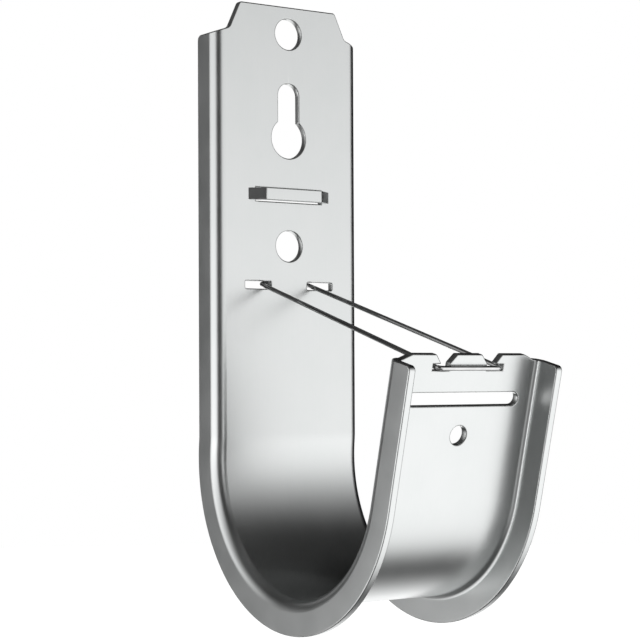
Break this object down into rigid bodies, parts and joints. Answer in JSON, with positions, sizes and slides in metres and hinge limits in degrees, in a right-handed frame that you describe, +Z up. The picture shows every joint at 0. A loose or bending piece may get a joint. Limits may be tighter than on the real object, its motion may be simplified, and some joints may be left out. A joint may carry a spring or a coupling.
{
  "type": "j hook cable support",
  "caption": "Folded steel J hook that carries a bundle of cables, with outward flanges and a hinged spring wire that closes its mouth.",
  "frame": {"origin": "centre of the upper screw hole, on the inner face of the back plate", "axes": "+X across the hook along the cables, +Y towards the wall, +Z up"},
  "size_m": [0.035, 0.0697, 0.1239],
  "materials": {
    "galvanised_sheet": "satin bright zinc finish",
    "spring_wire": "drawn, bright"
  },
  "bodies": {
    "hook": {"hook_body": "galvanised_sheet"},
    "retainer": {"wire_retainer": "spring_wire"}
  },
  "joints": [
    {"name": "retainer_hinge", "type": "hinge", "parent": "hook", "child": "retainer", "pos_m": [0, 0.00075, -0.05132], "axis": [-1, 0, 0], "range_deg": [0, 35.5]}
  ]
}
